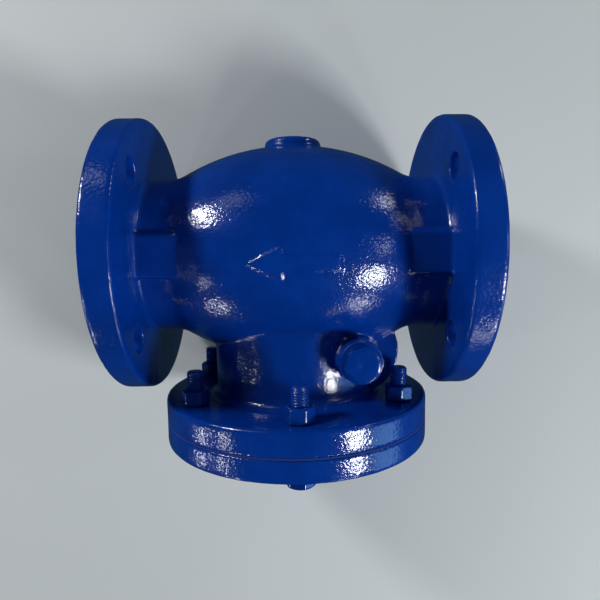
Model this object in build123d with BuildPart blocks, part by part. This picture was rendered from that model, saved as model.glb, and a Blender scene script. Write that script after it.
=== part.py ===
"""Flanged swing check valve, DN 80, with a bolted bonnet and a hinge pin behind a side plug.

Frame: the origin is the centre of the inlet flange's gasket face, +X runs along the pipe with
the flow, +Y points from the pipe axis to the bonnet, and +Z points up. The valve lies on its
back, on the rims of its three flanges, with the plug of the hinge pin on top. Millimetres.
"""

import math
import os

from build123d import *

os.makedirs("parts", exist_ok=True)

# Pipe flanges, DN 80 PN 16 with four holes
FACE_TO_FACE = 260.0
FLANGE_R = 102.0  # as-cast rim, nominally 100
FLANGE_T = 23.0  # with the gasket face
GASKET_FACE_R = 66.0
GASKET_FACE_H = 3.0
FLANGE_PCD = 160.0
INLET_HOLE_R = 9.0
OUTLET_HOLE_R = 9.25  # coarse clearance for M16
FLANGE_HOLES = 4
FLANGE_HOLE_TURN = 45.0
RIM_ROUND = 2.5  # rounding of every cast flange rim
SMALL_ROUND = 1.8  # rounding of the bonnet and of the disc

# Barrel of the body
MID_X = FACE_TO_FACE / 2
BORE_R = 40.0
HUB_R = 58.0
HUB_BLEND = 28.0
HUB_ROOT = 3.0
BARREL_R = 82.0
BARREL_ARC_R = 167.0
WALL = 11.0

# Bonnet neck and bonnet flange
NECK_R = 63.5
NECK_BORE_R = 54.0
NECK_BORE_LOW_Y = 53.0  # how far the bonnet opening reaches into the chamber
NECK_ROOT = 6.0
BONNET_R = 102.0
SEAT_OF_BONNET_Y = 106.4  # underside of the body's bonnet flange
BODY_TOP_Y = 124.0
BONNET_GAP = 1.0  # filled by the gasket
BONNET_GASKET_R = 101.6
BONNET_T = 16.0
BONNET_PCD = 170.0
BONNET_BOLTS = 6
BONNET_TURN = 91.5  # of the first bolt, seen from the pipe side, from +X towards +Z
BOLT_HOLE_R = 6.75
SPIGOT_R = 53.7
SPIGOT_BORE_R = 45.0
SPIGOT_H = 5.0
CROWN_R = 56.0
CROWN_H = 4.0

# Fasteners of the bonnet, M12
BOLT_R = 6.0
BOLT_L = 58.5
HEAD_FLATS = 18.0
HEAD_H = 7.5
NUT_H = 10.8
BOLT_CHAMFER = 1.2
TURN_STEP = 23  # degrees from one fastener's flats to the next
TURN_START = 8
HEADS_AHEAD = 3  # steps by which a head is ahead of its nut

# Hinge pin, its housing and its plug
PIN_X = 86.0
PIN_Y = 73.0
PIN_R = 6.0
PIN_LOW_Z = -54.0
PIN_TOP_Z = 56.0
PIN_BORE_DEEP_Z = -56.0
HOUSING_R = 33.0
HOUSING_HALF = 30.0
HOUSING_ROUND = 6.0
POCKET_R = 17.0
POCKET_HALF = 26.0
PIN_BOSS_R = 15.0
PIN_BOSS_TOP_Z = 70.0
BLIND_BOSS_Z = -66.0
BOSS_ROUND = 3.0  # rounding of every boss
PLUG_THREAD_R = 9.0
PLUG_THREAD_DEEP_Z = 58.0
PLUG_GASKET_R = 12.5
PLUG_GASKET_T = 1.5
PLUG_FLATS = 23.0
PLUG_HEAD_H = 6.5
PLUG_SHANK_END_Z = 60.0
PLUG_TURN = 15.0

# Ribs beside the hubs, and the blind drain boss
RIB_W = 30.0
RIB_TOP = 62.0
RIB_REACH = 62.0
DRAIN_R = 21.5
DRAIN_Y = -86.5

# Raised flow arrow
ARROW_H = 1.6
ARROW_L = 60.0
ARROW_W = 22.0
ARROW_SHAFT_W = 9.0
ARROW_HEAD_L = 22.0
ARROW_Y = 6.0

# Seat wall and seat ring
SEAT_WALL_X = 62.0
SEAT_WALL_T = 16.0
SEAT_RING_TUBE_R = 45.0
SEAT_RING_R = 49.0
SEAT_X = 82.0  # sealing face
SEAT_CHAMFER = 1.0

# Disc, turned about the pipe axis when shut
SEAT_GAP = 0.05
SEAL_BORE_R = 39.0
SEAL_R = 46.0
SEAL_T = 4.0
DISC_R = 47.5
DISC_FRONT_X = 83.5
DISC_RIM_X = 91.0
DISC_CONE_R = 24.0
DISC_HUB_X = 96.0
DISC_HUB_R = 15.0
DISC_SHOULDER_X = 99.7
STEM_R = 7.0
STEM_END_X = 128.0

# Arm
EYE_X = 100.0
EYE_T = 13.0
EYE_R = 17.0
RUNNING_GAP = 0.08
END_GAP = 0.3
ARM_HUB_R = 12.5
ARM_HUB_HALF = 24.0
ARM_W = 22.0
ARM_OVER_DISC = 1.0  # how far the web passes clear of the disc's rim
HEEL_R = 22.0
HEEL_W = 10.0
HEEL_ANGLE = 34.0
BUSH_R = 8.0
BUSH_L = 16.0
PIN_GAP = 0.05

# Nut, washer and split pin on the disc's stem, M14
WASHER_R = 14.0
WASHER_T = 2.5
DISC_NUT_FLATS = 21.0
DISC_NUT_H = 9.0
SPLIT_PIN_R = 1.6
SPLIT_PIN_HALF = 12.8
SPLIT_EYE_R = 2.8
SPLIT_EYE_T = 2.2
SPLIT_PIN_X = STEM_END_X - 4.0
SPLIT_SLOT_W = 3.6

NEAR = 0.01  # how close a vertex lies to the place that it is chosen by

BONNET_BASE = Plane(origin=(MID_X, 0, 0), x_dir=(1, 0, 0), z_dir=(0, 1, 0))
PIN_SECTION = Plane(origin=(PIN_X, PIN_Y, 0), x_dir=(1, 0, 0), z_dir=(0, -1, 0))
PIN_BASE = Plane(origin=(PIN_X, PIN_Y, 0), x_dir=(1, 0, 0), z_dir=(0, 0, 1))
INLET = Plane(origin=(0, 0, 0), x_dir=(0, 1, 0), z_dir=(1, 0, 0))
BODY_FLANGE_BASE = BONNET_BASE.offset(SEAT_OF_BONNET_Y)
COVER_Y = BODY_TOP_Y + BONNET_GAP
COVER_TOP_Y = COVER_Y + BONNET_T
ARC_CENTRE_R = BARREL_R - BARREL_ARC_R


def save(piece, label):
    """Labels a finished piece and writes its STEP file."""
    piece.part.label = label
    export_step(piece.part, f"parts/{label}.step")


def arc_reach(arc_r, radius):
    """How far from mid-length a barrel arc of radius arc_r has come down to the given radius."""
    return math.sqrt(arc_r**2 - (radius - ARC_CENTRE_R) ** 2)


# ---------------------------------------------------------------- body
def barrel_outline(arc_r, radius, low_x, high_x):
    """Half section of a barrel arc that is cut off at the given radius, between two stations."""
    reach = arc_reach(arc_r, radius)
    start = max(low_x, MID_X - reach)
    end = min(high_x, MID_X + reach)
    start_r = ARC_CENTRE_R + math.sqrt(arc_r**2 - (MID_X - start) ** 2)
    end_r = ARC_CENTRE_R + math.sqrt(arc_r**2 - (end - MID_X) ** 2)
    middle = (start + end) / 2
    middle_r = ARC_CENTRE_R + math.sqrt(arc_r**2 - (MID_X - middle) ** 2)
    return (start, start_r), (middle, middle_r), (end, end_r)


with BuildPart() as body:
    # Both pipe flanges, both hubs and the barrel, turned about the pipe axis
    start, middle, end = barrel_outline(BARREL_ARC_R, HUB_R, 0, FACE_TO_FACE)
    with BuildSketch(Plane.XY) as shell:
        with BuildLine():
            Polyline(
                (GASKET_FACE_H, 0),
                (GASKET_FACE_H, FLANGE_R),
                (FLANGE_T, FLANGE_R),
                (FLANGE_T, HUB_R),
                start,
            )
            ThreePointArc(start, middle, end)
            Polyline(
                end,
                (FACE_TO_FACE - FLANGE_T, HUB_R),
                (FACE_TO_FACE - FLANGE_T, FLANGE_R),
                (FACE_TO_FACE - GASKET_FACE_H, FLANGE_R),
                (FACE_TO_FACE - GASKET_FACE_H, 0),
                (GASKET_FACE_H, 0),
            )
        make_face()
        rims = shell.vertices().filter_by(lambda v: v.Y > FLANGE_R - 1)
        fillet(rims, RIM_ROUND)
        roots = shell.vertices().filter_by(
            lambda v: abs(v.Y - HUB_R) < NEAR and abs(v.X - MID_X) > arc_reach(BARREL_ARC_R, HUB_R) + 1
        )
        fillet(roots, HUB_ROOT)
        shoulders = shell.vertices().filter_by(
            lambda v: abs(v.Y - HUB_R) < NEAR
            and abs(abs(v.X - MID_X) - arc_reach(BARREL_ARC_R, HUB_R)) < NEAR
        )
        fillet(shoulders, HUB_BLEND)
    revolve(axis=Axis.X)

    # Gasket faces
    with BuildSketch(INLET):
        Circle(GASKET_FACE_R)
    extrude(amount=GASKET_FACE_H)
    with BuildSketch(INLET.offset(FACE_TO_FACE - GASKET_FACE_H)):
        Circle(GASKET_FACE_R)
    extrude(amount=GASKET_FACE_H)

    # Bonnet neck and bonnet flange, turned about the bonnet's axis
    with BuildSketch(Plane.XY) as neck:
        with BuildLine():
            Polyline(
                (MID_X, 0),
                (MID_X + NECK_R, 0),
                (MID_X + NECK_R, SEAT_OF_BONNET_Y),
                (MID_X + BONNET_R, SEAT_OF_BONNET_Y),
                (MID_X + BONNET_R, BODY_TOP_Y),
                (MID_X, BODY_TOP_Y),
                close=True,
            )
        make_face()
        rim = neck.vertices().filter_by(lambda v: v.X > MID_X + BONNET_R - 1 and v.Y < BODY_TOP_Y - 1)
        fillet(rim, RIM_ROUND)
        root = neck.vertices().filter_by(lambda v: abs(v.X - MID_X - NECK_R) < NEAR and v.Y > BARREL_R)
        fillet(root, NECK_ROOT)
    revolve(axis=Axis((MID_X, 0, 0), (0, 1, 0)))

    # Housing of the hinge pin, with its open boss above and its blind boss below
    with BuildSketch(PIN_SECTION) as housing:
        with BuildLine():
            Polyline(
                (0, BLIND_BOSS_Z),
                (PIN_BOSS_R, BLIND_BOSS_Z),
                (PIN_BOSS_R, -HOUSING_HALF),
                (HOUSING_R, -HOUSING_HALF),
                (HOUSING_R, HOUSING_HALF),
                (PIN_BOSS_R, HOUSING_HALF),
                (PIN_BOSS_R, PIN_BOSS_TOP_Z),
                (0, PIN_BOSS_TOP_Z),
                close=True,
            )
        make_face()
        housing_ends = housing.vertices().filter_by_position(Axis.X, PIN_X + HOUSING_R, PIN_X + HOUSING_R)
        fillet(housing_ends, HOUSING_ROUND)
        boss_ends = housing.vertices().filter_by(
            lambda v: abs(v.X - PIN_X - PIN_BOSS_R) < NEAR and abs(v.Z) > HOUSING_HALF + 1
        )
        fillet(boss_ends, BOSS_ROUND)
    revolve(axis=Axis((PIN_X, PIN_Y, 0), (0, 0, 1)))

    # Drain boss
    with BuildSketch(Plane.XY) as drain:
        with BuildLine():
            Polyline(
                (MID_X, 0),
                (MID_X + DRAIN_R, 0),
                (MID_X + DRAIN_R, DRAIN_Y),
                (MID_X, DRAIN_Y),
                close=True,
            )
        make_face()
        fillet(drain.vertices().filter_by(lambda v: v.X > MID_X + 1 and v.Y < -1), BOSS_ROUND)
    revolve(axis=Axis((MID_X, 0, 0), (0, 1, 0)))

    # Ribs between the flanges and the barrel, above and below
    for rib_start in (GASKET_FACE_H, FACE_TO_FACE - GASKET_FACE_H - RIB_REACH):
        with BuildSketch(INLET.offset(rib_start)):
            RectangleRounded(RIB_W, 2 * RIB_TOP, RIM_ROUND)
        extrude(amount=RIB_REACH)

    # Raised flow arrow on top of the barrel
    with BuildSketch(Plane.XY) as arrow_band:
        start, middle, end = barrel_outline(BARREL_ARC_R + ARROW_H, HUB_R, MID_X - ARROW_L, MID_X + ARROW_L)
        with BuildLine():
            ThreePointArc(start, middle, end)
            Polyline(end, (end[0], 0), (start[0], 0), start)
        make_face()
    band = revolve(axis=Axis.X, mode=Mode.PRIVATE)
    with BuildSketch(Plane.XY.offset(HUB_R)) as arrow_face:
        with BuildLine():
            Polyline(
                (MID_X - ARROW_L / 2, ARROW_Y + ARROW_SHAFT_W / 2),
                (MID_X + ARROW_L / 2 - ARROW_HEAD_L, ARROW_Y + ARROW_SHAFT_W / 2),
                (MID_X + ARROW_L / 2 - ARROW_HEAD_L, ARROW_Y + ARROW_W / 2),
                (MID_X + ARROW_L / 2, ARROW_Y),
                (MID_X + ARROW_L / 2 - ARROW_HEAD_L, ARROW_Y - ARROW_W / 2),
                (MID_X + ARROW_L / 2 - ARROW_HEAD_L, ARROW_Y - ARROW_SHAFT_W / 2),
                (MID_X - ARROW_L / 2, ARROW_Y - ARROW_SHAFT_W / 2),
                close=True,
            )
        make_face()
    arrow = extrude(amount=BARREL_R, mode=Mode.PRIVATE)
    add(band & arrow)

    # Flow passage: bore, pocket before the seat wall, chamber behind it
    with BuildSketch(INLET):
        Circle(BORE_R)
    extrude(amount=SEAT_WALL_X, mode=Mode.SUBTRACT)
    inner_arc = BARREL_ARC_R - WALL
    for low_x, high_x in ((0, SEAT_WALL_X), (SEAT_WALL_X + SEAT_WALL_T, FACE_TO_FACE)):
        start, middle, end = barrel_outline(inner_arc, BORE_R, low_x, high_x)
        with BuildSketch(Plane.XY):
            with BuildLine():
                ThreePointArc(start, middle, end)
                Polyline(end, (end[0], 0), (start[0], 0), start)
            make_face()
        revolve(axis=Axis.X, mode=Mode.SUBTRACT)
    with BuildSketch(INLET.offset(MID_X)):
        Circle(BORE_R)
    extrude(amount=MID_X, mode=Mode.SUBTRACT)

    # Hole for the seat ring
    with BuildSketch(INLET.offset(SEAT_WALL_X)):
        Circle(SEAT_RING_TUBE_R)
    extrude(amount=SEAT_WALL_T, mode=Mode.SUBTRACT)

    # Bonnet opening, and the pocket round the arm's hub
    with BuildSketch(BONNET_BASE.offset(BODY_TOP_Y)):
        Circle(NECK_BORE_R)
    extrude(amount=NECK_BORE_LOW_Y - BODY_TOP_Y, mode=Mode.SUBTRACT)
    with BuildSketch(PIN_BASE.offset(-POCKET_HALF)):
        Circle(POCKET_R)
    extrude(amount=2 * POCKET_HALF, mode=Mode.SUBTRACT)

    # Bore of the hinge pin, blind below and threaded for its plug above
    with BuildSketch(PIN_BASE.offset(PIN_BORE_DEEP_Z)):
        Circle(PIN_R)
    extrude(amount=PIN_BOSS_TOP_Z - PIN_BORE_DEEP_Z, mode=Mode.SUBTRACT)
    with BuildSketch(PIN_BASE.offset(PLUG_THREAD_DEEP_Z)):
        Circle(PLUG_THREAD_R)
    extrude(amount=PIN_BOSS_TOP_Z - PLUG_THREAD_DEEP_Z, mode=Mode.SUBTRACT)

    # Bolt holes
    with BuildSketch(INLET):
        with PolarLocations(FLANGE_PCD / 2, FLANGE_HOLES, start_angle=FLANGE_HOLE_TURN):
            Circle(INLET_HOLE_R)
    extrude(amount=FLANGE_T + HUB_ROOT, mode=Mode.SUBTRACT)
    with BuildSketch(INLET.offset(FACE_TO_FACE)):
        with PolarLocations(FLANGE_PCD / 2, FLANGE_HOLES, start_angle=FLANGE_HOLE_TURN):
            Circle(OUTLET_HOLE_R)
    extrude(amount=-FLANGE_T - HUB_ROOT, mode=Mode.SUBTRACT)
    with BuildSketch(BODY_FLANGE_BASE):
        with PolarLocations(BONNET_PCD / 2, BONNET_BOLTS, start_angle=-BONNET_TURN):
            Circle(BOLT_HOLE_R)
    extrude(amount=BODY_TOP_Y - SEAT_OF_BONNET_Y, mode=Mode.SUBTRACT)
save(body, "body")


# ---------------------------------------------------------------- seat ring
with BuildPart() as seat_ring:
    with BuildSketch(Plane.XY) as ring:
        with BuildLine():
            Polyline(
                (SEAT_WALL_X, BORE_R),
                (SEAT_WALL_X, SEAT_RING_TUBE_R),
                (SEAT_WALL_X + SEAT_WALL_T, SEAT_RING_TUBE_R),
                (SEAT_WALL_X + SEAT_WALL_T, SEAT_RING_R),
                (SEAT_X, SEAT_RING_R),
                (SEAT_X, BORE_R),
                close=True,
            )
        make_face()
        chamfer(ring.vertices().filter_by(lambda v: v.X > SEAT_X - NEAR), SEAT_CHAMFER)
    revolve(axis=Axis.X)
save(seat_ring, "seat_ring")


# ---------------------------------------------------------------- bonnet and its gasket
with BuildPart() as bonnet:
    with BuildSketch(Plane.XY) as cover:
        with BuildLine():
            Polyline(
                (MID_X, COVER_Y),
                (MID_X + SPIGOT_BORE_R, COVER_Y),
                (MID_X + SPIGOT_BORE_R, COVER_Y - SPIGOT_H),
                (MID_X + SPIGOT_R, COVER_Y - SPIGOT_H),
                (MID_X + SPIGOT_R, COVER_Y),
                (MID_X + BONNET_R, COVER_Y),
                (MID_X + BONNET_R, COVER_TOP_Y),
                (MID_X + CROWN_R, COVER_TOP_Y),
                (MID_X + CROWN_R, COVER_TOP_Y + CROWN_H),
                (MID_X, COVER_TOP_Y + CROWN_H),
                close=True,
            )
        make_face()
        outer_corners = cover.vertices().filter_by(lambda v: v.X > MID_X + 1 and v.Y > COVER_TOP_Y - 1)
        fillet(outer_corners, SMALL_ROUND)
    revolve(axis=Axis((MID_X, 0, 0), (0, 1, 0)))
    with BuildSketch(BONNET_BASE.offset(COVER_Y)):
        with PolarLocations(BONNET_PCD / 2, BONNET_BOLTS, start_angle=-BONNET_TURN):
            Circle(BOLT_HOLE_R)
    extrude(amount=BONNET_T, mode=Mode.SUBTRACT)
save(bonnet, "bonnet")

with BuildPart() as bonnet_gasket:
    with BuildSketch(BONNET_BASE.offset(BODY_TOP_Y)):
        Circle(BONNET_GASKET_R)
        Circle(NECK_BORE_R, mode=Mode.SUBTRACT)
        with PolarLocations(BONNET_PCD / 2, BONNET_BOLTS, start_angle=-BONNET_TURN):
            Circle(BOLT_HOLE_R, mode=Mode.SUBTRACT)
    extrude(amount=BONNET_GAP)
save(bonnet_gasket, "bonnet_gasket")


# ---------------------------------------------------------------- bonnet bolts and nuts
def hexagon_turn(number):
    """How far each fastener happened to stop turned, so that no two flats line up."""
    return (number * TURN_STEP + TURN_START) % 60


def bolt_plane(number, height):
    """The plane square to bolt number's axis, at the given height above the pipe axis."""
    angle = math.radians(BONNET_TURN + number * 360 / BONNET_BOLTS)
    x = MID_X + BONNET_PCD / 2 * math.cos(angle)
    z = BONNET_PCD / 2 * math.sin(angle)
    return Plane(origin=(x, height, z), x_dir=(1, 0, 0), z_dir=(0, 1, 0))


for number in range(BONNET_BOLTS):
    with BuildPart() as bolt:
        with BuildSketch(bolt_plane(number, COVER_TOP_Y)):
            RegularPolygon(HEAD_FLATS / 2, 6, major_radius=False, rotation=hexagon_turn(number + HEADS_AHEAD))
        extrude(amount=HEAD_H)
        with BuildSketch(bolt_plane(number, COVER_TOP_Y)):
            Circle(BOLT_R)
        extrude(amount=-BOLT_L)
        chamfer(bolt.edges().filter_by(GeomType.CIRCLE).sort_by(Axis.Y)[0], BOLT_CHAMFER)
    save(bolt, f"bonnet_bolt_{number + 1}")

    with BuildPart() as nut:
        with BuildSketch(bolt_plane(number, SEAT_OF_BONNET_Y)):
            RegularPolygon(HEAD_FLATS / 2, 6, major_radius=False, rotation=hexagon_turn(number))
            Circle(BOLT_R, mode=Mode.SUBTRACT)
        extrude(amount=-NUT_H)
    save(nut, f"bonnet_nut_{number + 1}")


# ---------------------------------------------------------------- hinge pin, plug and plug gasket
with BuildPart() as hinge_pin:
    with BuildSketch(PIN_BASE.offset(PIN_LOW_Z)):
        Circle(PIN_R)
    extrude(amount=PIN_TOP_Z - PIN_LOW_Z)
    chamfer(hinge_pin.edges().filter_by(GeomType.CIRCLE), BOLT_CHAMFER)
save(hinge_pin, "hinge_pin")

with BuildPart() as plug_gasket:
    with BuildSketch(PIN_BASE.offset(PIN_BOSS_TOP_Z)):
        Circle(PLUG_GASKET_R)
        Circle(PLUG_THREAD_R, mode=Mode.SUBTRACT)
    extrude(amount=PLUG_GASKET_T)
save(plug_gasket, "plug_gasket")

PLUG_HEAD_Z = PIN_BOSS_TOP_Z + PLUG_GASKET_T
with BuildPart() as hinge_pin_plug:
    with BuildSketch(PIN_BASE.offset(PLUG_SHANK_END_Z)):
        Circle(PLUG_THREAD_R)
    extrude(amount=PLUG_HEAD_Z - PLUG_SHANK_END_Z)
    with BuildSketch(PIN_BASE.offset(PLUG_HEAD_Z)):
        RegularPolygon(PLUG_FLATS / 2, 6, major_radius=False, rotation=PLUG_TURN)
    extrude(amount=PLUG_HEAD_H)
    chamfer(hinge_pin_plug.faces().sort_by(Axis.Z)[-1].edges(), BOLT_CHAMFER)
save(hinge_pin_plug, "hinge_pin_plug")


# ---------------------------------------------------------------- hinge arm and its bushes
def heel_corner(radius, across):
    """A corner of the stop heel, at a radius from the pin and a distance across the heel."""
    angle = math.radians(HEEL_ANGLE)
    x = PIN_X + radius * math.cos(angle) - across * math.sin(angle)
    y = PIN_Y + radius * math.sin(angle) + across * math.cos(angle)
    return x, y


EYE_END_X = EYE_X + EYE_T
with BuildPart() as hinge_arm:
    with BuildSketch(INLET.offset(EYE_X)):
        Circle(EYE_R)
    extrude(amount=EYE_T)
    # Cranked web, from the eye past the disc's rim to the hub
    with BuildSketch(Plane.XY.offset(-ARM_W / 2)):
        with BuildLine():
            Polyline(
                (EYE_X, 0),
                (EYE_END_X, 0),
                (EYE_END_X, PIN_Y - 2 * ARM_HUB_R),
                (PIN_X + ARM_HUB_R, PIN_Y),
                (PIN_X - ARM_HUB_R / 2, PIN_Y - ARM_HUB_R / 2),
                (EYE_X, DISC_R + ARM_OVER_DISC),
                close=True,
            )
        make_face()
    extrude(amount=ARM_W)
    with BuildSketch(PIN_BASE.offset(-ARM_HUB_HALF)):
        Circle(ARM_HUB_R)
    extrude(amount=2 * ARM_HUB_HALF)
    # Heel that meets the neck when the valve is fully open
    with BuildSketch(Plane.XY.offset(-ARM_W / 2)):
        with BuildLine():
            Polyline(
                heel_corner(0, -HEEL_W / 2),
                heel_corner(HEEL_R, -HEEL_W / 2),
                heel_corner(HEEL_R, HEEL_W / 2),
                heel_corner(0, HEEL_W / 2),
                close=True,
            )
        make_face()
    extrude(amount=ARM_W)
    with BuildSketch(INLET.offset(EYE_X)):
        Circle(STEM_R + RUNNING_GAP)
    extrude(amount=EYE_T, mode=Mode.SUBTRACT)
    with BuildSketch(PIN_BASE.offset(-ARM_HUB_HALF)):
        Circle(PIN_R + 2 * RUNNING_GAP)
    extrude(amount=2 * ARM_HUB_HALF, mode=Mode.SUBTRACT)
    for low_z in (-ARM_HUB_HALF, ARM_HUB_HALF - BUSH_L):
        with BuildSketch(PIN_BASE.offset(low_z)):
            Circle(BUSH_R)
        extrude(amount=BUSH_L, mode=Mode.SUBTRACT)
save(hinge_arm, "hinge_arm")

for side, low_z in (("lower", -ARM_HUB_HALF), ("upper", ARM_HUB_HALF - BUSH_L)):
    with BuildPart() as bush:
        with BuildSketch(PIN_BASE.offset(low_z)):
            Circle(BUSH_R)
            Circle(PIN_R + PIN_GAP, mode=Mode.SUBTRACT)
        extrude(amount=BUSH_L)
    save(bush, f"arm_bush_{side}")


# ---------------------------------------------------------------- disc and its seal ring
SEAL_X = SEAT_X + SEAT_GAP
with BuildPart() as disc:
    with BuildSketch(Plane.XY) as section:
        with BuildLine():
            Polyline(
                (DISC_FRONT_X, 0),
                (DISC_FRONT_X, SEAL_BORE_R),
                (SEAL_X + SEAL_T, SEAL_BORE_R),
                (SEAL_X + SEAL_T, SEAL_R),
                (DISC_FRONT_X, SEAL_R),
                (DISC_FRONT_X, DISC_R),
                (DISC_RIM_X, DISC_R),
                (DISC_HUB_X, DISC_CONE_R),
                (DISC_HUB_X, DISC_HUB_R),
                (DISC_SHOULDER_X, DISC_HUB_R),
                (DISC_SHOULDER_X, STEM_R),
                (STEM_END_X, STEM_R),
                (STEM_END_X, 0),
                close=True,
            )
        make_face()
        chamfer(section.vertices().filter_by(lambda v: v.X > STEM_END_X - 1 and v.Y > 1), BOLT_CHAMFER)
        fillet(section.vertices().filter_by(lambda v: abs(v.X - DISC_RIM_X) < NEAR), SMALL_ROUND)
    revolve(axis=Axis.X)
    with BuildSketch(Plane.XY.offset(-STEM_R)):
        with Locations((SPLIT_PIN_X, 0)):
            Circle(SPLIT_PIN_R)
    extrude(amount=2 * STEM_R, mode=Mode.SUBTRACT)
save(disc, "disc")

with BuildPart() as disc_seal_ring:
    with BuildSketch(INLET.offset(SEAL_X)):
        Circle(SEAL_R)
        Circle(SEAL_BORE_R, mode=Mode.SUBTRACT)
    extrude(amount=SEAL_T)
save(disc_seal_ring, "disc_seal_ring")


# ---------------------------------------------------------------- washer, nut and split pin
WASHER_X = EYE_END_X + END_GAP
with BuildPart() as disc_washer:
    with BuildSketch(INLET.offset(WASHER_X)):
        Circle(WASHER_R)
        Circle(STEM_R, mode=Mode.SUBTRACT)
    extrude(amount=WASHER_T)
save(disc_washer, "disc_washer")

NUT_X = WASHER_X + WASHER_T
with BuildPart() as disc_nut:
    with BuildSketch(INLET.offset(NUT_X)):
        RegularPolygon(DISC_NUT_FLATS / 2, 6, major_radius=False)
        Circle(STEM_R, mode=Mode.SUBTRACT)
    extrude(amount=DISC_NUT_H)
    # Castle slots for the split pin
    with BuildSketch(Plane.XY.offset(-DISC_NUT_FLATS)):
        with Locations((NUT_X + DISC_NUT_H, 0)):
            Rectangle(2 * (NUT_X + DISC_NUT_H - SPLIT_PIN_X + SPLIT_PIN_R), SPLIT_SLOT_W)
    extrude(amount=2 * DISC_NUT_FLATS, mode=Mode.SUBTRACT)
save(disc_nut, "disc_nut")

with BuildPart() as disc_split_pin:
    with BuildSketch(Plane.XY.offset(-SPLIT_PIN_HALF)):
        with Locations((SPLIT_PIN_X, 0)):
            Circle(SPLIT_PIN_R)
    extrude(amount=2 * SPLIT_PIN_HALF)
    with BuildSketch(Plane.YZ.offset(SPLIT_PIN_X - SPLIT_EYE_T / 2)):
        with Locations((0, SPLIT_PIN_HALF)):
            Circle(SPLIT_EYE_R)
            Circle(SPLIT_EYE_R - SPLIT_PIN_R, mode=Mode.SUBTRACT)
    extrude(amount=SPLIT_EYE_T)
save(disc_split_pin, "disc_split_pin")
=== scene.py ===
"""Looks of the DN 80 swing check valve: blue enamelled castings, painted fasteners, inner parts.

Everything is in metres in the row frame: flow along +X, bonnet towards +Y, hinge-pin plug on top.
"""

import math

import bpy
import bmesh
from mathutils import Matrix, Vector


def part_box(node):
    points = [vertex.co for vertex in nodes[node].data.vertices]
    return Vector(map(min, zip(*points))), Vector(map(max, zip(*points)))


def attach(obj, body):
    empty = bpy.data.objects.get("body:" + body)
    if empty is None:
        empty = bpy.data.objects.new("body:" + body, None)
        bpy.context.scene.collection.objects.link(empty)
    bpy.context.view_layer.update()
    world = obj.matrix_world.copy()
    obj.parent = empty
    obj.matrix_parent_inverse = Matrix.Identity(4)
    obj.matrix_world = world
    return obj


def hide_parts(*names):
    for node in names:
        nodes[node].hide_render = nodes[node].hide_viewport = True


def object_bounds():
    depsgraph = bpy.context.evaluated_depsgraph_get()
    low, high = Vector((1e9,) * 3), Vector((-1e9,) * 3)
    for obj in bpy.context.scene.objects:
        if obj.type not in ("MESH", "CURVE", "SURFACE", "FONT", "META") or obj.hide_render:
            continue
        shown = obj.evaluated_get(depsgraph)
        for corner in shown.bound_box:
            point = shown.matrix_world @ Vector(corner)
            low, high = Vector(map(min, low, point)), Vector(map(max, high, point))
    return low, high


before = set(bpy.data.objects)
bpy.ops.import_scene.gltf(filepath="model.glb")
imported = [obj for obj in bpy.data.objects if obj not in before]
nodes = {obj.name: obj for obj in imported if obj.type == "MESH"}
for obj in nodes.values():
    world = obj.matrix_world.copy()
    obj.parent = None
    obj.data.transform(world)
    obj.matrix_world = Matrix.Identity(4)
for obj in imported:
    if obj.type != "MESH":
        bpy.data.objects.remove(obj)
cad_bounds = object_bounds()
cad_low, cad_high = Vector(cad_bounds[0]), Vector(cad_bounds[1])
MM = 0.001
MID_X = (cad_low.x + cad_high.x) / 2


# ---------------------------------------------------------------- camera, floor and light
CAMERA_PLACE = (0.12853, -0.00141, 0.37914)
CAMERA_TILT = (-0.1010, -0.0081, 3.1269)
CAMERA_LENS = 28.506
SENSOR_WIDTH = 36.0
CLIP_START = 0.01

FLOOR_REACH = 3.0
BACKDROP_R = 2.9
BACKDROP_H = 3.0
BACKDROP_SIDES = 180
BACKDROP_GLOW = 0.25

DAYLIGHT = (0.93, 0.98, 1.0)
SKYLIGHT = (0.35, 0.72, 1.0)
WORLD_COLOUR = (0.30, 0.65, 1.0, 1.0)
WORLD_STRENGTH = 0.05

# Name, azimuth and elevation in degrees, distance, width, height, radiance, tint. Each window
# makes one of the highlights in the photo.
LAMPS = (
    ("window_main", 151, 38.5, 1.5, 0.32, 0.24, 44.0, DAYLIGHT),
    ("window_front", 126.5, 24, 1.5, 0.16, 0.16, 20.0, DAYLIGHT),
    ("window_front_low", 115, 18, 1.5, 0.26, 0.20, 4.0, DAYLIGHT),
    ("window_corner", 50.5, 16.8, 1.5, 0.13, 0.11, 34.0, DAYLIGHT),
    ("window_side_high", 28.5, 26, 1.5, 0.10, 0.10, 30.0, DAYLIGHT),
    ("window_side_low", 25, 6, 1.5, 0.10, 0.07, 40.0, DAYLIGHT),
    ("window_back", 322.5, 21, 1.5, 0.22, 0.26, 66.0, DAYLIGHT),
    ("window_far", 302, 23, 1.5, 0.28, 0.28, 1.4, DAYLIGHT),
    ("window_low", 223, 10, 1.5, 0.20, 0.18, 15.0, DAYLIGHT),
    ("window_high", 186, 37, 1.5, 0.18, 0.18, 8.0, DAYLIGHT),
    ("sky_right", 155, 13, 1.6, 0.50, 0.74, 2.0, SKYLIGHT),
)


def make_camera():
    """A camera that looks almost straight down, with the bonnet at the bottom of the picture."""
    data = bpy.data.cameras.new("camera")
    data.lens = CAMERA_LENS
    data.sensor_width = SENSOR_WIDTH
    data.clip_start = CLIP_START
    camera = bpy.data.objects.new("camera", data)
    camera.location = CAMERA_PLACE
    camera.rotation_euler = CAMERA_TILT
    bpy.context.scene.collection.objects.link(camera)
    bpy.context.scene.camera = camera


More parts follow.
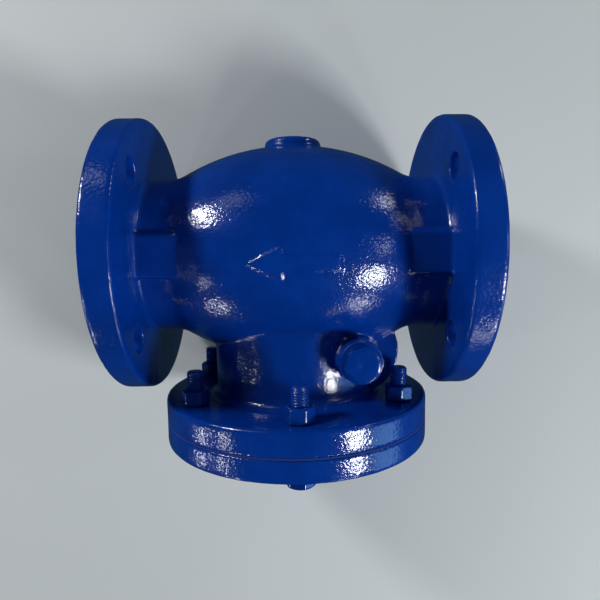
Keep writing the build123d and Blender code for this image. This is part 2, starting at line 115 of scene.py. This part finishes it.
def lamp(name, azimuth, elevation, distance, width, height, radiance, tint):
    """A rectangular soft light that faces the middle of the valve. Angles are in degrees."""
    data = bpy.data.lights.new(name, "AREA")
    data.shape = "RECTANGLE"
    data.size = width
    data.size_y = height
    data.energy = radiance * math.pi * width * height
    data.color = tint
    around, up = math.radians(azimuth), math.radians(elevation)
    level = math.cos(up)
    towards = Vector((level * math.cos(around), level * math.sin(around), math.sin(up)))
    light = bpy.data.objects.new(name, data)
    light.location = Vector((MID_X, 0.0, 0.0)) + towards * distance
    light.rotation_euler = towards.to_track_quat("Z", "Y").to_euler()
    bpy.context.scene.collection.objects.link(light)


def make_lights():
    """Soft windows all round the valve, low enough to leave the castings' tops deep in colour."""
    for settings in LAMPS:
        lamp(*settings)
    world = bpy.data.worlds.new("studio")
    world.use_nodes = True
    background = world.node_tree.nodes["Background"]
    background.inputs["Color"].default_value = WORLD_COLOUR
    background.inputs["Strength"].default_value = WORLD_STRENGTH
    bpy.context.scene.world = world
    bpy.context.scene.view_settings.view_transform = "Standard"


# ---------------------------------------------------------------- materials
class Finish:
    """A material's node tree, with short calls for the nodes that the finishes share."""

    def __init__(self, name):
        self.material = bpy.data.materials.new(name)
        self.material.use_nodes = True
        self.tree = self.material.node_tree
        self.tree.nodes.clear()
        self.shader = self.tree.nodes.new("ShaderNodeBsdfPrincipled")
        output = self.tree.nodes.new("ShaderNodeOutputMaterial")
        self.tree.links.new(self.shader.outputs["BSDF"], output.inputs["Surface"])
        self.place = self.tree.nodes.new("ShaderNodeTexCoord").outputs["Object"]

    def feed(self, socket, value):
        """Sets a socket to a constant, or links it where the value is another node's output."""
        if isinstance(value, bpy.types.NodeSocket):
            self.tree.links.new(value, socket)
        elif isinstance(value, tuple) and len(value) == 3 and len(socket.default_value) == 4:
            socket.default_value = (*value, 1.0)
        else:
            socket.default_value = value

    def set(self, **values):
        """Sets the shader's own sockets: base_color is "Base Color", and so on."""
        names = {socket.name.lower().replace(" ", "_"): socket for socket in self.shader.inputs}
        for name, value in values.items():
            self.feed(names[name], value)

    def noise(self, size, detail=2.0, rough=0.5, place=None):
        """Smooth noise from 0 to 1 with features of about the given size in metres."""
        node = self.tree.nodes.new("ShaderNodeTexNoise")
        self.feed(node.inputs["Vector"], place or self.place)
        node.inputs["Scale"].default_value = 1.0 / size
        node.inputs["Detail"].default_value = detail
        node.inputs["Roughness"].default_value = rough
        return node.outputs["Fac"]

    def cells(self, size):
        """Distance to the nearest of scattered points, for grit and pits."""
        node = self.tree.nodes.new("ShaderNodeTexVoronoi")
        self.feed(node.inputs["Vector"], self.place)
        node.inputs["Scale"].default_value = 1.0 / size
        return node.outputs["Distance"]

    def math(self, operation, first, second=0.0):
        """One step of arithmetic on values or constants."""
        node = self.tree.nodes.new("ShaderNodeMath")
        node.operation = operation
        self.feed(node.inputs[0], first)
        self.feed(node.inputs[1], second)
        return node.outputs[0]

    def times(self, first, second):
        """The product of two values."""
        return self.math("MULTIPLY", first, second)

    def weigh(self, *pairs):
        """The sum of some values, each times its weight."""
        parts = [self.times(value, weight) for value, weight in pairs]
        total = parts[0]
        for part in parts[1:]:
            total = self.math("ADD", total, part)
        return total

    def spread(self, value, low, high, out_low=0.0, out_high=1.0):
        """Maps the range low..high to out_low..out_high, smoothly and clamped."""
        node = self.tree.nodes.new("ShaderNodeMapRange")
        node.interpolation_type = "SMOOTHSTEP"
        self.feed(node.inputs["Value"], value)
        node.inputs["From Min"].default_value = low
        node.inputs["From Max"].default_value = high
        node.inputs["To Min"].default_value = out_low
        node.inputs["To Max"].default_value = out_high
        return node.outputs["Result"]

    def blend(self, amount, first, second):
        """Mixes two colours."""
        node = self.tree.nodes.new("ShaderNodeMix")
        node.data_type = "RGBA"
        self.feed(node.inputs[0], amount)
        self.feed(node.inputs[6], first)
        self.feed(node.inputs[7], second)
        return node.outputs[2]

    def axes(self):
        """The x, y and z of the point, in metres in the row frame."""
        node = self.tree.nodes.new("ShaderNodeSeparateXYZ")
        self.feed(node.inputs[0], self.place)
        return node.outputs

    def stretched(self, along):
        """The point with its coordinates scaled, which draws noise out along one axis."""
        node = self.tree.nodes.new("ShaderNodeMapping")
        self.feed(node.inputs["Vector"], self.place)
        node.inputs["Scale"].default_value = along
        return node.outputs["Vector"]

    def far_from_axis(self, first, second):
        """Distance from an axis, from the two coordinates square to it."""
        squares = [self.times(value, value) for value in (first, second)]
        return self.math("SQRT", self.math("ADD", *squares))

    def bump(self, height, distance):
        """A bumped normal. The distance is how far a height of 1 stands out, in metres."""
        node = self.tree.nodes.new("ShaderNodeBump")
        node.inputs["Distance"].default_value = distance
        self.feed(node.inputs["Height"], height)
        return node.outputs["Normal"]


# Surfaces half-way through the body's wall, which part the painted outside from the primed inside
SHELL_ARC_R = 0.1615
SHELL_ARC_DROP = 0.085  # how far below the pipe axis the barrel's arcs are centred
SHELL_HUB_R = 0.049
SHELL_NECK_R = 0.0588
SEAM_Y = 0.1245
GASKET_RIM_R = 0.1016

# The gasket faces are bare iron down to the first depth, and paint begins at the second
TURNED_DEPTH = 0.0004
PAINT_DEPTH = 0.0012
TURNED_PITCH = 0.0008
LATHE_PITCH = 0.00035

# Gloss of the clear top of the enamel, the same on castings and fasteners
GLAZE = {"coat_roughness": 0.05, "ior": 1.5, "specular_ior_level": 0.12}

CAST_PAINT = ((0.0002, 0.036, 0.285), (0.0003, 0.045, 0.355))
CAST_PAINT_THIN = (0.0001, 0.018, 0.150)
STEEL_PAINT = ((0.0002, 0.035, 0.280), (0.0003, 0.045, 0.350))
STEEL_PAINT_CHIPPED = (0.0010, 0.013, 0.080)
GASKET_PAINT = (0.0002, 0.027, 0.220)
TURNED_IRON = ((0.20, 0.20, 0.205), (0.34, 0.34, 0.345))
PRIMER = ((0.045, 0.030, 0.026), (0.090, 0.055, 0.045))
OILED_IRON = ((0.030, 0.029, 0.028), (0.085, 0.080, 0.076))
PIT_COLOUR = (0.015, 0.012, 0.010)
FIBRE = ((0.020, 0.026, 0.022), (0.075, 0.085, 0.075))
RUBBER = ((0.012, 0.012, 0.013), (0.040, 0.040, 0.042))
PALE_MATT = ((0.74, 0.735, 0.72), (0.78, 0.775, 0.76))
PALE_GLOW = (0.90, 0.95, 1.0)


def masks(f, x, y, z):
    """Where the body is turned bare, and where it is primed inside. Both are 0 on the paint."""
    low_end = f.spread(x, PAINT_DEPTH, TURNED_DEPTH)
    high_end = f.spread(x, cad_high.x - PAINT_DEPTH, cad_high.x - TURNED_DEPTH)
    turned = f.math("MAXIMUM", low_end, high_end)

    from_middle = f.math("SUBTRACT", x, MID_X)
    under_arc = f.math("SUBTRACT", SHELL_ARC_R**2, f.times(from_middle, from_middle))
    arc = f.math("SUBTRACT", f.math("SQRT", under_arc), SHELL_ARC_DROP)
    shell = f.math("MAXIMUM", arc, SHELL_HUB_R)
    in_pipe = f.math("LESS_THAN", f.far_from_axis(y, z), shell)

    within_neck = f.math("LESS_THAN", f.far_from_axis(from_middle, z), SHELL_NECK_R)
    in_neck = f.times(within_neck, f.math("LESS_THAN", y, SEAM_Y))
    in_neck = f.times(in_neck, f.math("GREATER_THAN", y, SHELL_HUB_R))
    inside = f.times(f.math("MAXIMUM", in_pipe, in_neck), f.math("SUBTRACT", 1.0, turned))
    return turned, inside


def enamel(name):
    """Thick glossy blue enamel over rough cast iron; bare iron gasket faces, primer inside."""
    f = Finish(name)
    x, y, z = f.axes()
    turned, inside = masks(f, x, y, z)
    bare = f.math("MAXIMUM", turned, inside)

    broad = f.noise(size=0.030, detail=3.0, rough=0.6)
    paint = f.blend(f.spread(broad, 0.3, 0.7), *CAST_PAINT)
    thin = f.spread(f.noise(size=0.0022, detail=3.0, rough=0.65), 0.60, 0.80)
    paint = f.blend(f.times(thin, 0.25), paint, CAST_PAINT_THIN)
    iron = f.blend(f.noise(size=0.006, detail=3.0), *TURNED_IRON)
    primer = f.blend(f.noise(size=0.008, detail=4.0), *PRIMER)
    colour = f.blend(inside, paint, primer)
    colour = f.blend(turned, colour, iron)

    rough = f.spread(broad, 0.2, 0.8, 0.16, 0.30)
    rough = f.math("MAXIMUM", rough, f.times(inside, 0.75))
    rough = f.math("MAXIMUM", rough, f.times(turned, 0.38))

    peel = f.noise(size=0.0020, detail=2.0, rough=0.55)
    runs = f.noise(size=0.0060, detail=1.0, rough=0.5)
    grains = f.spread(f.cells(size=0.0042), 0.0, 0.20, 1.0, 0.0)
    skin = f.weigh((peel, 1.8), (runs, 0.8), (grains, 0.35))
    skin = f.times(skin, f.math("SUBTRACT", 1.0, turned))
    grooves = f.math("SINE", f.times(f.far_from_axis(y, z), 2 * math.pi / TURNED_PITCH))
    height = f.math("ADD", skin, f.times(f.times(grooves, turned), 0.10))
    normal = f.bump(height, distance=0.00014)

    f.set(base_color=colour, roughness=rough, metallic=f.times(turned, 0.85))
    f.set(normal=normal, coat_normal=normal, coat_weight=f.math("SUBTRACT", 1.0, bare), **GLAZE)
    return f.material


def painted_steel(name):
    """The same enamel where it runs over machined fasteners: smoother, pooled, a little thinner."""
    f = Finish(name)
    broad = f.noise(size=0.012, detail=3.0, rough=0.6)
    paint = f.blend(f.spread(broad, 0.3, 0.7), *STEEL_PAINT)
    chips = f.spread(f.noise(size=0.0016, detail=4.0, rough=0.7), 0.70, 0.78)
    paint = f.blend(f.times(chips, 0.6), paint, STEEL_PAINT_CHIPPED)
    pooled = f.noise(size=0.0026, detail=2.0)
    speckle = f.noise(size=0.0010, detail=1.0)
    normal = f.bump(f.weigh((pooled, 1.0), (speckle, 0.3)), distance=0.00020)
    f.set(base_color=paint, roughness=f.spread(broad, 0.2, 0.8, 0.15, 0.28))
    f.set(normal=normal, coat_normal=normal, coat_weight=1.0, **GLAZE)
    return f.material


def cast_iron(name):
    """Dark blasted cast iron, oiled: fine pits, and lighter where it has been handled."""
    f = Finish(name)
    mottle = f.noise(size=0.007, detail=4.0, rough=0.6)
    pits = f.spread(f.cells(size=0.0016), 0.05, 0.35)
    colour = f.blend(mottle, *OILED_IRON)
    colour = f.blend(f.math("SUBTRACT", 1.0, pits), colour, PIT_COLOUR)
    sand = f.noise(size=0.0028, detail=3.0, rough=0.6)
    f.set(base_color=colour, metallic=0.55, roughness=f.spread(mottle, 0.2, 0.8, 0.48, 0.68))
    f.set(normal=f.bump(f.weigh((pits, 0.6), (sand, 1.0)), distance=0.00022))
    return f.material


def turned_metal(name, dark, light, axis, centre, shine):
    """Metal off a lathe: fine rings round its own axis, faint staining, small scratches."""
    f = Finish(name)
    x, y, z = f.axes()
    if axis == "X":
        across, along = ((y, centre.y), (z, centre.z)), x
    else:
        across, along = ((x, centre.x), (y, centre.y)), z
    radius = f.far_from_axis(*[f.math("SUBTRACT", value, middle) for value, middle in across])
    turns = f.times(f.math("ADD", radius, along), 2 * math.pi / LATHE_PITCH)
    lathe = f.math("SINE", turns)
    stain = f.noise(size=0.010, detail=4.0, rough=0.6)
    scratch = f.noise(size=0.0009, detail=3.0, rough=0.7)
    f.set(base_color=f.blend(f.spread(stain, 0.25, 0.75), dark, light), metallic=1.0)
    f.set(roughness=f.math("ADD", f.times(scratch, 0.18), shine))
    f.set(normal=f.bump(f.weigh((lathe, 0.5), (scratch, 1.0)), distance=0.00002))
    return f.material


def rubber(name):
    """Smooth black moulded rubber with a faint bloom."""
    f = Finish(name)
    bloom = f.noise(size=0.009, detail=4.0, rough=0.6)
    f.set(base_color=f.blend(bloom, *RUBBER), roughness=f.spread(bloom, 0.2, 0.8, 0.42, 0.62))
    f.set(normal=f.bump(f.noise(size=0.0008, detail=3.0), distance=0.00003))
    return f.material


def fibre(name):
    """Compressed fibre sheet, dark green-grey, with the valve's paint over its rim."""
    f = Finish(name)
    x, _, z = f.axes()
    lengthways = f.stretched((1.0, 1.0, 0.25))
    strands = f.noise(size=0.0010, detail=4.0, rough=0.7, place=lengthways)
    from_middle = f.far_from_axis(f.math("SUBTRACT", x, MID_X), z)
    rim = f.spread(from_middle, GASKET_RIM_R - 0.0010, GASKET_RIM_R - 0.0004)
    f.set(base_color=f.blend(rim, f.blend(strands, *FIBRE), GASKET_PAINT))
    f.set(roughness=0.85, normal=f.bump(strands, distance=0.00008))
    return f.material


def floor_finish(name, glow=0.0):
    """Plain pale matt studio surface, faintly uneven. The glow keeps the far backdrop pale."""
    f = Finish(name)
    cloud = f.noise(size=0.25, detail=3.0, rough=0.6)
    f.set(base_color=f.blend(cloud, *PALE_MATT), roughness=0.8)
    f.set(normal=f.bump(f.noise(size=0.004, detail=3.0), distance=0.00008))
    f.set(emission_color=PALE_GLOW, emission_strength=glow)
    return f.material


def dress(obj, material):
    """Gives an object one material and smooth shading."""
    obj.data.materials.clear()
    obj.data.materials.append(material)
    for face in obj.data.polygons:
        face.material_index = 0
        face.use_smooth = True


# ---------------------------------------------------------------- castings and machined pieces
SKIN_WAVE = 0.011
SKIN_LEVEL = 0.85  # above 0.5, so that the skin goes in rather than out, past the CAD's box
WELD_REACH = 0.000002
SHARP_ANGLE = math.radians(35)
GASKET_SQUEEZE = 0.0003


def soften(obj, voxel, passes, ripple, kept=1.0):
    """Rounds a casting's edges as a sand mould does, and leaves its skin slightly uneven."""
    remesh = obj.modifiers.new("sand_mould", "REMESH")
    remesh.mode = "VOXEL"
    remesh.voxel_size = voxel
    remesh.use_smooth_shade = True
    smooth = obj.modifiers.new("cast_rounding", "SMOOTH")
    smooth.factor = 0.5
    smooth.iterations = passes
    skin = bpy.data.textures.new(f"{obj.name}_skin", "CLOUDS")
    skin.noise_scale = SKIN_WAVE
    skin.noise_depth = 1
    uneven = obj.modifiers.new("cast_skin", "DISPLACE")
    uneven.texture = skin
    uneven.texture_coords = "LOCAL"
    uneven.strength = ripple
    uneven.mid_level = SKIN_LEVEL
    if kept < 1.0:
        thin = obj.modifiers.new("fewer_faces", "DECIMATE")
        thin.ratio = kept


def ease_edges(obj, width):
    """Breaks the sharp edges of a machined piece."""
    weld = obj.modifiers.new("weld", "WELD")
    weld.merge_threshold = WELD_REACH
    bevel = obj.modifiers.new("broken_edges", "BEVEL")
    bevel.width = width
    bevel.segments = 2
    bevel.limit_method = "ANGLE"
    bevel.angle_limit = SHARP_ANGLE
    bevel.harden_normals = True


def squeeze_out(obj):
    """Lets the gasket stand out of its joint a little, as a tightened one does."""
    squeeze = obj.modifiers.new("squeezed_out", "DISPLACE")
    squeeze.strength = GASKET_SQUEEZE
    squeeze.mid_level = 0.0


# ---------------------------------------------------------------- fasteners
BOLT_R = 6 * MM
BOLT_TIP_R = BOLT_R - 1.5 * MM
BOLT_STEPS = 48
HEAD_FLATS = 18 * MM
HEAD_H = 7.5 * MM
HEAD_DISH_R = HEAD_FLATS * 0.3
HEAD_DISH_DEPTH = 0.02 * MM
HEX_EDGE = 0.35 * MM
HEX_CORNER = math.radians(30)
HEX_FACES = [math.radians(30 + 60 * k) for k in range(3)]
HEX_RING = 0.96  # where the chamfer meets the flats, as a share of their distance from the middle
HEX_CRISP = 26
CHAMFER_STEPS = 5

THREAD_PITCH = 1.75 * MM
THREAD_DEPTH = 0.75 * MM
THREAD_START = 0.05 * MM
THREAD_L = 34 * MM
THREAD_LEAD = 1.35 * MM
THREAD_STATIONS = 6
LEAD_SLOPE = 1.1

NUT_STEPS = 60
NUT_BORE_R = BOLT_R + 0.02 * MM
NUT_CHAMFER = 0.9 * MM

PLUG_FLATS = 23 * MM
PLUG_HEAD_H = 6.5 * MM
PLUG_EDGE = 0.45 * MM
PLUG_TURN = math.radians(15)
PLUG_CRISP = 16
PLUG_STEPS = 96
PLUG_THREAD_R = 9 * MM
PLUG_THREAD_DEPTH = 0.6 * MM
PLUG_THREAD_PITCH = 1.5 * MM
PLUG_THREAD_LEAD = 1.0 * MM
PLUG_UNDERCUT = 0.3 * MM
PLUG_DIMPLE = ((1.5, 0.0), (1.2, 0.12), (0.3, 0.35))  # radius and depth in mm

# Degrees that one fastener is turned more than the one before it, and that the first is turned
TURN_STEP = 23
TURN_START = 8
HEX_REPEAT = 60
HEAD_TURN_LEAD = 3  # a bolt's head is turned as the nut this many places on


def turned_mesh(name, sections, steps, ring=False):
    """A mesh round local Z. Each section gives its radius and height for an angle.

    A ring has no caps: its last section meets its first.
    """
    bm = bmesh.new()
    rows = []
    for section in sections:
        row = []
        for i in range(steps):
            angle = 2 * math.pi * i / steps
            radius, height = section(angle)
            row.append(bm.verts.new((radius * math.cos(angle), radius * math.sin(angle), height)))
        rows.append(row)
    pairs = list(zip(rows, rows[1:]))
    if ring:
        pairs.append((rows[-1], rows[0]))
    else:
        bm.faces.new(list(reversed(rows[0])))
        bm.faces.new(rows[-1])
    for lower, upper in pairs:
        for i in range(steps):
            j = (i + 1) % steps
            bm.faces.new((lower[i], lower[j], upper[j], upper[i]))
    bmesh.ops.recalc_face_normals(bm, faces=bm.faces)
    mesh = bpy.data.meshes.new(name)
    bm.to_mesh(mesh)
    bm.free()
    return mesh


def hexagon(flats, turn, crisp=HEX_CRISP):
    """Radius of a hexagon with corners softened by paint, as a function of the angle."""

    def radius(angle):
        sides = [abs(math.cos(angle - turn - face)) ** crisp for face in HEX_FACES]
        return flats / 2 / sum(sides) ** (1 / crisp)

    return radius


def hexagon_sections(outline, flats, low, high, chamfer_low, chamfer_high, edge):
    """Stations up a hexagon's side. The corners are turned off at 30 degrees where chamfered."""
    slope = 1 / math.tan(HEX_CORNER)
    ring = flats / 2 * HEX_RING
    depth = (flats / 2 / math.cos(HEX_CORNER) - ring) / slope
    drops = [depth * k / CHAMFER_STEPS for k in range(1, CHAMFER_STEPS + 1)]
    heights = [low, low + edge]
    if chamfer_low:
        heights += [low + edge + drop for drop in drops]
    if chamfer_high:
        heights += [high - edge - drop for drop in reversed(drops)]
    heights += [high - edge, high]
    sections = []
    for height in heights:
        limit = math.inf
        if chamfer_low:
            limit = min(limit, ring + (height - low - edge) * slope)
        if chamfer_high:
            limit = min(limit, ring + (high - edge - height) * slope)
        inset = edge if height in (low, high) else 0.0

        def section(angle, height=height, limit=limit, inset=inset):
            return min(outline(angle), limit) - inset, height

        sections.append(section)
    return sections


def thread(radius, depth, pitch, low, high, lead):
    """Stations along a painted thread, with the first few chamfered at the low end."""
    count = int((high - low) / pitch * THREAD_STATIONS)
    sections = []
    for k in range(count + 1):
        height = low + (high - low) * k / count

        def section(angle, height=height):
            wave = 0.5 + 0.5 * math.cos(2 * math.pi * height / pitch - angle)
            tip = radius - lead + (height - low) * LEAD_SLOPE
            return min(radius - depth * wave, tip), height

        sections.append(section)
    return sections


def disc_section(radius, height):
    """A plain round station."""
    return lambda angle: (radius, height)


def stand(name, mesh, base, axis, material, body, slot, *replaced):
    """Places a turned mesh in the row frame, with its local Z along the axis.

    The piece rides its body and stands in for the CAD nodes named last. The slot is not used.
    """
    across = Vector((1, 0, 0))
    up = Vector(axis)
    side = up.cross(across)
    turn = Matrix((across, side, up)).transposed().to_4x4()
    mesh.transform(Matrix.Translation(base) @ turn)
    piece = bpy.data.objects.new(name, mesh)
    bpy.context.scene.collection.objects.link(piece)
    dress(piece, material)
    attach(piece, body)
    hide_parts(*replaced)


def centre_of(node):
    """The middle of a CAD node's box."""
    low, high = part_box(node)
    return (low + high) / 2


def hexagon_turn(number):
    """How far each fastener is turned, the same as in the CAD."""
    return math.radians((number * TURN_STEP + TURN_START) % HEX_REPEAT)


def bolt_sections(length, turn):
    """A bolt from its threaded tip up to its head, which a shallow dish ends."""
    head = length - HEAD_H
    sections = [disc_section(BOLT_R * 0.35, 0.0), disc_section(BOLT_TIP_R, 0.0)]
    sections += thread(BOLT_R, THREAD_DEPTH, THREAD_PITCH, THREAD_START, THREAD_L, THREAD_LEAD)
    sections += [disc_section(BOLT_R, THREAD_L + MM), disc_section(BOLT_R, head)]
    outline = hexagon(HEAD_FLATS, turn)
    sections += hexagon_sections(outline, HEAD_FLATS, head, length, False, True, HEX_EDGE)
    sections += [disc_section(HEAD_DISH_R, length - HEAD_DISH_DEPTH)]
    return sections


def nut_sections(thick, turn):
    """A nut, up its outside and back down its bore."""
    sections = [disc_section(BOLT_R + NUT_CHAMFER, 0.0)]
    outline = hexagon(HEAD_FLATS, turn)
    sections += hexagon_sections(outline, HEAD_FLATS, 0.0, thick, True, True, HEX_EDGE)
    sections += [disc_section(NUT_BORE_R + NUT_CHAMFER, thick)]
    sections += [disc_section(NUT_BORE_R, thick - NUT_CHAMFER)]
    sections += [disc_section(NUT_BORE_R, NUT_CHAMFER)]
    return sections


def plug_sections(length):
    """The plug from the tip of its thread up to its head, with a dimple in the middle."""
    head = length - PLUG_HEAD_H
    sections = [disc_section(PLUG_THREAD_R * 0.4, 0.0)]
    sections += thread(
        PLUG_THREAD_R, PLUG_THREAD_DEPTH, PLUG_THREAD_PITCH, 0.0, head - MM, PLUG_THREAD_LEAD
    )
    sections += [disc_section(PLUG_THREAD_R - PLUG_UNDERCUT, head - 0.2 * MM)]
    sections += [disc_section(PLUG_THREAD_R, head)]
    outline = hexagon(PLUG_FLATS, PLUG_TURN, PLUG_CRISP)
    sections += hexagon_sections(outline, PLUG_FLATS, head, length, False, True, PLUG_EDGE)
    sections += [disc_section(PLUG_FLATS * 0.36, length)]
    sections += [disc_section(radius * MM, length - depth * MM) for radius, depth in PLUG_DIMPLE]
    return sections


def make_bonnet_fasteners(material):
    """Six bolts with their heads on the bonnet, and six nuts under the body's flange."""
    for number in range(6):
        for node, turn, make, steps in (
            (f"bonnet_bolt_{number + 1}", number + HEAD_TURN_LEAD, bolt_sections, BOLT_STEPS),
            (f"bonnet_nut_{number + 1}", number, nut_sections, NUT_STEPS),
        ):
            low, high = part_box(node)
            centre = (low + high) / 2
            sections = make(high.y - low.y, hexagon_turn(turn))
            mesh = turned_mesh(f"{node}_painted", sections, steps, ring=make is nut_sections)
            base = Vector((centre.x, low.y, centre.z))
            stand(
                f"{node}_painted", mesh, base, (0, 1, 0), material, "valve_body", "blue_enamel", node
            )


def make_plug(material):
    """The hexagon plug over the hinge pin."""
    node = "hinge_pin_plug"
    low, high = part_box(node)
    centre = (low + high) / 2
    mesh = turned_mesh(f"{node}_painted", plug_sections(high.z - low.z), PLUG_STEPS)
    base = Vector((centre.x, centre.y, low.z))
    stand(
        f"{node}_painted", mesh, base, (0, 0, 1), material, "valve_body", "blue_enamel", node
    )


# ---------------------------------------------------------------- the studio
def link_mesh(name, points, faces, material):
    """An object made from plain lists of points and faces."""
    mesh = bpy.data.meshes.new(name)
    mesh.from_pydata(points, [], faces)
    mesh.materials.append(material)
    obj = bpy.data.objects.new(name, mesh)
    bpy.context.scene.collection.objects.link(obj)
    obj.visible_glossy = False  # the enamel reflects the lamps, not the pale studio
    return obj


def make_floor():
    """A flat floor under the flange rims that the valve lies on."""
    corners = ((-1, -1), (1, -1), (1, 1), (-1, 1))
    points = [(MID_X + FLOOR_REACH * x, FLOOR_REACH * y, cad_low.z) for x, y in corners]
    floor = link_mesh("floor", points, [(0, 1, 2, 3)], floor_finish("pale_floor"))


def make_backdrop():
    """A pale wall all round, far behind the valve, that lights nothing and shades nothing."""
    around = [2 * math.pi * k / BACKDROP_SIDES for k in range(BACKDROP_SIDES)]
    points = [
        (MID_X + BACKDROP_R * math.cos(angle), BACKDROP_R * math.sin(angle), z)
        for z in (cad_low.z, BACKDROP_H)
        for angle in around
    ]
    walls = []
    for k in range(BACKDROP_SIDES):
        following = (k + 1) % BACKDROP_SIDES
        walls.append((k, following, BACKDROP_SIDES + following, BACKDROP_SIDES + k))
    backdrop = link_mesh("backdrop", points, walls, floor_finish("pale_backdrop", BACKDROP_GLOW))
    backdrop.visible_diffuse = False
    backdrop.visible_shadow = False


# ---------------------------------------------------------------- the scene
make_camera()
make_lights()

blue = enamel("blue_enamel_cast")
blue_steel = painted_steel("blue_enamel_steel")
iron = cast_iron("dark_cast_iron")
pin_place = centre_of("hinge_pin")
pipe_place = centre_of("disc")
bronze_seat = turned_metal(
    "bronze_seat", (0.42, 0.24, 0.09), (0.62, 0.40, 0.17), "X", pipe_place, shine=0.16
)
bronze_bush = turned_metal(
    "bronze_bush", (0.40, 0.23, 0.09), (0.58, 0.37, 0.16), "Z", pin_place, shine=0.18
)
steel_pin = turned_metal(
    "stainless_pin", (0.44, 0.44, 0.45), (0.62, 0.62, 0.63), "Z", pin_place, shine=0.14
)
steel_stem = turned_metal(
    "stainless_stem", (0.44, 0.44, 0.45), (0.60, 0.60, 0.61), "X", pipe_place, shine=0.18
)

soften(nodes["body"], voxel=0.00125, passes=2, ripple=0.00022, kept=0.30)
dress(nodes["body"], blue)
soften(nodes["bonnet"], voxel=0.0012, passes=2, ripple=0.00018, kept=0.55)
dress(nodes["bonnet"], blue)
soften(nodes["hinge_arm"], voxel=0.0009, passes=3, ripple=0.00015)
dress(nodes["hinge_arm"], iron)

make_bonnet_fasteners(blue_steel)
make_plug(blue_steel)

# Node, material, width of its broken edges
for node, material, edge in (
    ("plug_gasket", blue_steel, 0.4 * MM),
    ("seat_ring", bronze_seat, 0.3 * MM),
    ("bonnet_gasket", fibre("gasket_fibre"), 0.15 * MM),
    ("hinge_pin", steel_pin, 0.3 * MM),
    ("arm_bush_lower", bronze_bush, 0.3 * MM),
    ("arm_bush_upper", bronze_bush, 0.3 * MM),
    ("disc", iron, 0.4 * MM),
    ("disc_seal_ring", rubber("seal_rubber"), 0.4 * MM),
    ("disc_washer", steel_stem, 0.3 * MM),
    ("disc_nut", steel_stem, 0.4 * MM),
    ("disc_split_pin", steel_stem, 0.3 * MM),
):
    ease_edges(nodes[node], edge)
    dress(nodes[node], material)

squeeze_out(nodes["bonnet_gasket"])
make_floor()
make_backdrop()
